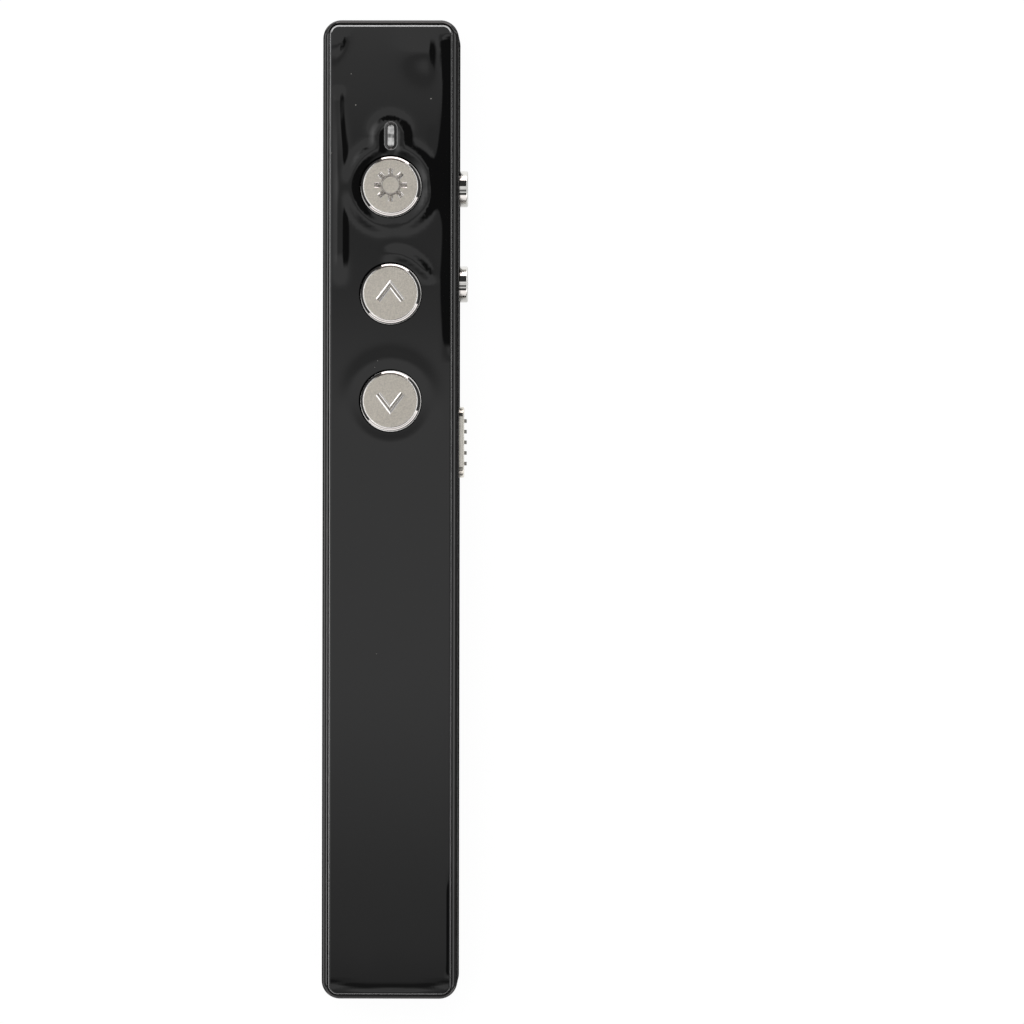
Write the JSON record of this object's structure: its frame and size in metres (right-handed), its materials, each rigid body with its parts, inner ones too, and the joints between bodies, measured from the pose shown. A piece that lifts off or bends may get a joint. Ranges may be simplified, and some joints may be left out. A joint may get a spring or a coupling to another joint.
{
  "type": "wireless presentation clicker",
  "caption": "Slim bar-shaped presentation remote with a glossy front, round metal keys, side keys, a power slider, a laser tip, a charging socket and a stowed USB receiver.",
  "frame": {"origin": "middle of the back face, which the clicker rests on", "axes": "+X across the width towards the side keys, +Y along the length towards the laser tip, +Z out of the front face through the keys"},
  "size_m": [0.0202, 0.137, 0.0129],
  "materials": {
    "housing_plastic": "black moulded ABS, fine satin gloss",
    "cover_plastic": "piano-black high gloss",
    "key_nickel": "satin nickel-coloured caps with a bright edge",
    "side_key_chrome": "polished nickel-chrome plating",
    "clear_plastic": "clear polycarbonate",
    "window_plastic": "smoked clear plastic over the laser",
    "plug_steel": "tin-plated steel skin",
    "receiver_plastic": "black moulded plastic",
    "contact_gold": "gold-plated contacts",
    "board_laminate": "green solder mask on laminate",
    "chip_epoxy": "black epoxy package",
    "crystal_can": "metal can",
    "capacitor_ceramic": "tan ceramic body",
    "antenna_copper": "bare copper strip",
    "led_package": "white package with a clear lens",
    "switch_plastic": "black heat-proof plastic",
    "switch_steel": "thin stainless steel",
    "screw_steel": "zinc-plated steel",
    "cell_foil": "silver pouch foil",
    "foam_tape": "black foam tape",
    "lead_red": "red insulated wire",
    "lead_black": "black insulated wire",
    "laser_brass": "turned brass barrel",
    "laser_lens_clear": "clear moulded lens"
  },
  "bodies": {
    "housing": {"rear_case": "housing_plastic", "front_cover": "cover_plastic", "power_switch_case": "switch_plastic", "main_board": "board_laminate", "board_screws": "screw_steel", "status_led": "led_package", "light_pipe": "clear_plastic", "radio_chip": "chip_epoxy", "crystal": "crystal_can", "charger_chip": "chip_epoxy", "board_capacitors": "capacitor_ceramic", "antenna": "antenna_copper", "battery_cell": "cell_foil", "battery_pad": "foam_tape", "battery_protection_board": "board_laminate", "battery_lead_positive": "lead_red", "battery_lead_negative": "lead_black", "laser_barrel": "laser_brass", "laser_lens": "laser_lens_clear", "laser_diode": "crystal_can", "laser_driver": "board_laminate", "laser_pins": "contact_gold", "laser_window": "window_plastic", "charging_socket_shell": "plug_steel", "charging_socket_tongue": "switch_plastic", "laser_switch_base": "switch_plastic", "laser_switch_frame": "switch_steel", "laser_switch_dome": "switch_steel", "page_up_switch_base": "switch_plastic", "page_up_switch_frame": "switch_steel", "page_up_switch_dome": "switch_steel", "page_down_switch_base": "switch_plastic", "page_down_switch_frame": "switch_steel", "page_down_switch_dome": "switch_steel", "upper_side_switch_base": "switch_plastic", "upper_side_switch_frame": "switch_steel", "upper_side_switch_dome": "switch_steel", "lower_side_switch_base": "switch_plastic", "lower_side_switch_frame": "switch_steel", "lower_side_switch_dome": "switch_steel"},
    "laser_key": {"laser_key": "key_nickel", "laser_switch_stem": "switch_plastic"},
    "page_up_key": {"page_up_key": "key_nickel", "page_up_switch_stem": "switch_plastic"},
    "page_down_key": {"page_down_key": "key_nickel", "page_down_switch_stem": "switch_plastic"},
    "upper_side_key": {"upper_side_key": "side_key_chrome", "upper_side_switch_stem": "switch_plastic"},
    "lower_side_key": {"lower_side_key": "side_key_chrome", "lower_side_switch_stem": "switch_plastic"},
    "power_slider": {"power_slider": "side_key_chrome", "power_switch_lever": "switch_plastic"},
    "receiver": {"receiver_body": "receiver_plastic", "receiver_plug": "plug_steel", "receiver_tongue": "receiver_plastic", "receiver_contacts": "contact_gold", "receiver_board": "board_laminate"}
  },
  "joints": [
    {"name": "laser_press", "type": "slide", "parent": "housing", "child": "laser_key", "axis": [0, 0, -1], "range_m": [0, 0.0004], "stiffness_N_per_m": 4000, "springref_m": -0.0001},
    {"name": "page_up_press", "type": "slide", "parent": "housing", "child": "page_up_key", "axis": [0, 0, -1], "range_m": [0, 0.0004], "stiffness_N_per_m": 4000, "springref_m": -0.0001},
    {"name": "page_down_press", "type": "slide", "parent": "housing", "child": "page_down_key", "axis": [0, 0, -1], "range_m": [0, 0.0004], "stiffness_N_per_m": 4000, "springref_m": -0.0001},
    {"name": "upper_side_press", "type": "slide", "parent": "housing", "child": "upper_side_key", "axis": [-1, 0, 0], "range_m": [0, 0.00035], "stiffness_N_per_m": 4000, "springref_m": -0.0001},
    {"name": "lower_side_press", "type": "slide", "parent": "housing", "child": "lower_side_key", "axis": [-1, 0, 0], "range_m": [0, 0.00035], "stiffness_N_per_m": 4000, "springref_m": -0.0001},
    {"name": "power_slide", "type": "slide", "parent": "housing", "child": "power_slider", "axis": [0, -1, 0], "range_m": [0, 0.002]},
    {"name": "receiver_pull", "type": "slide", "parent": "housing", "child": "receiver", "axis": [0, -1, 0], "range_m": [0, 0.024]}
  ]
}
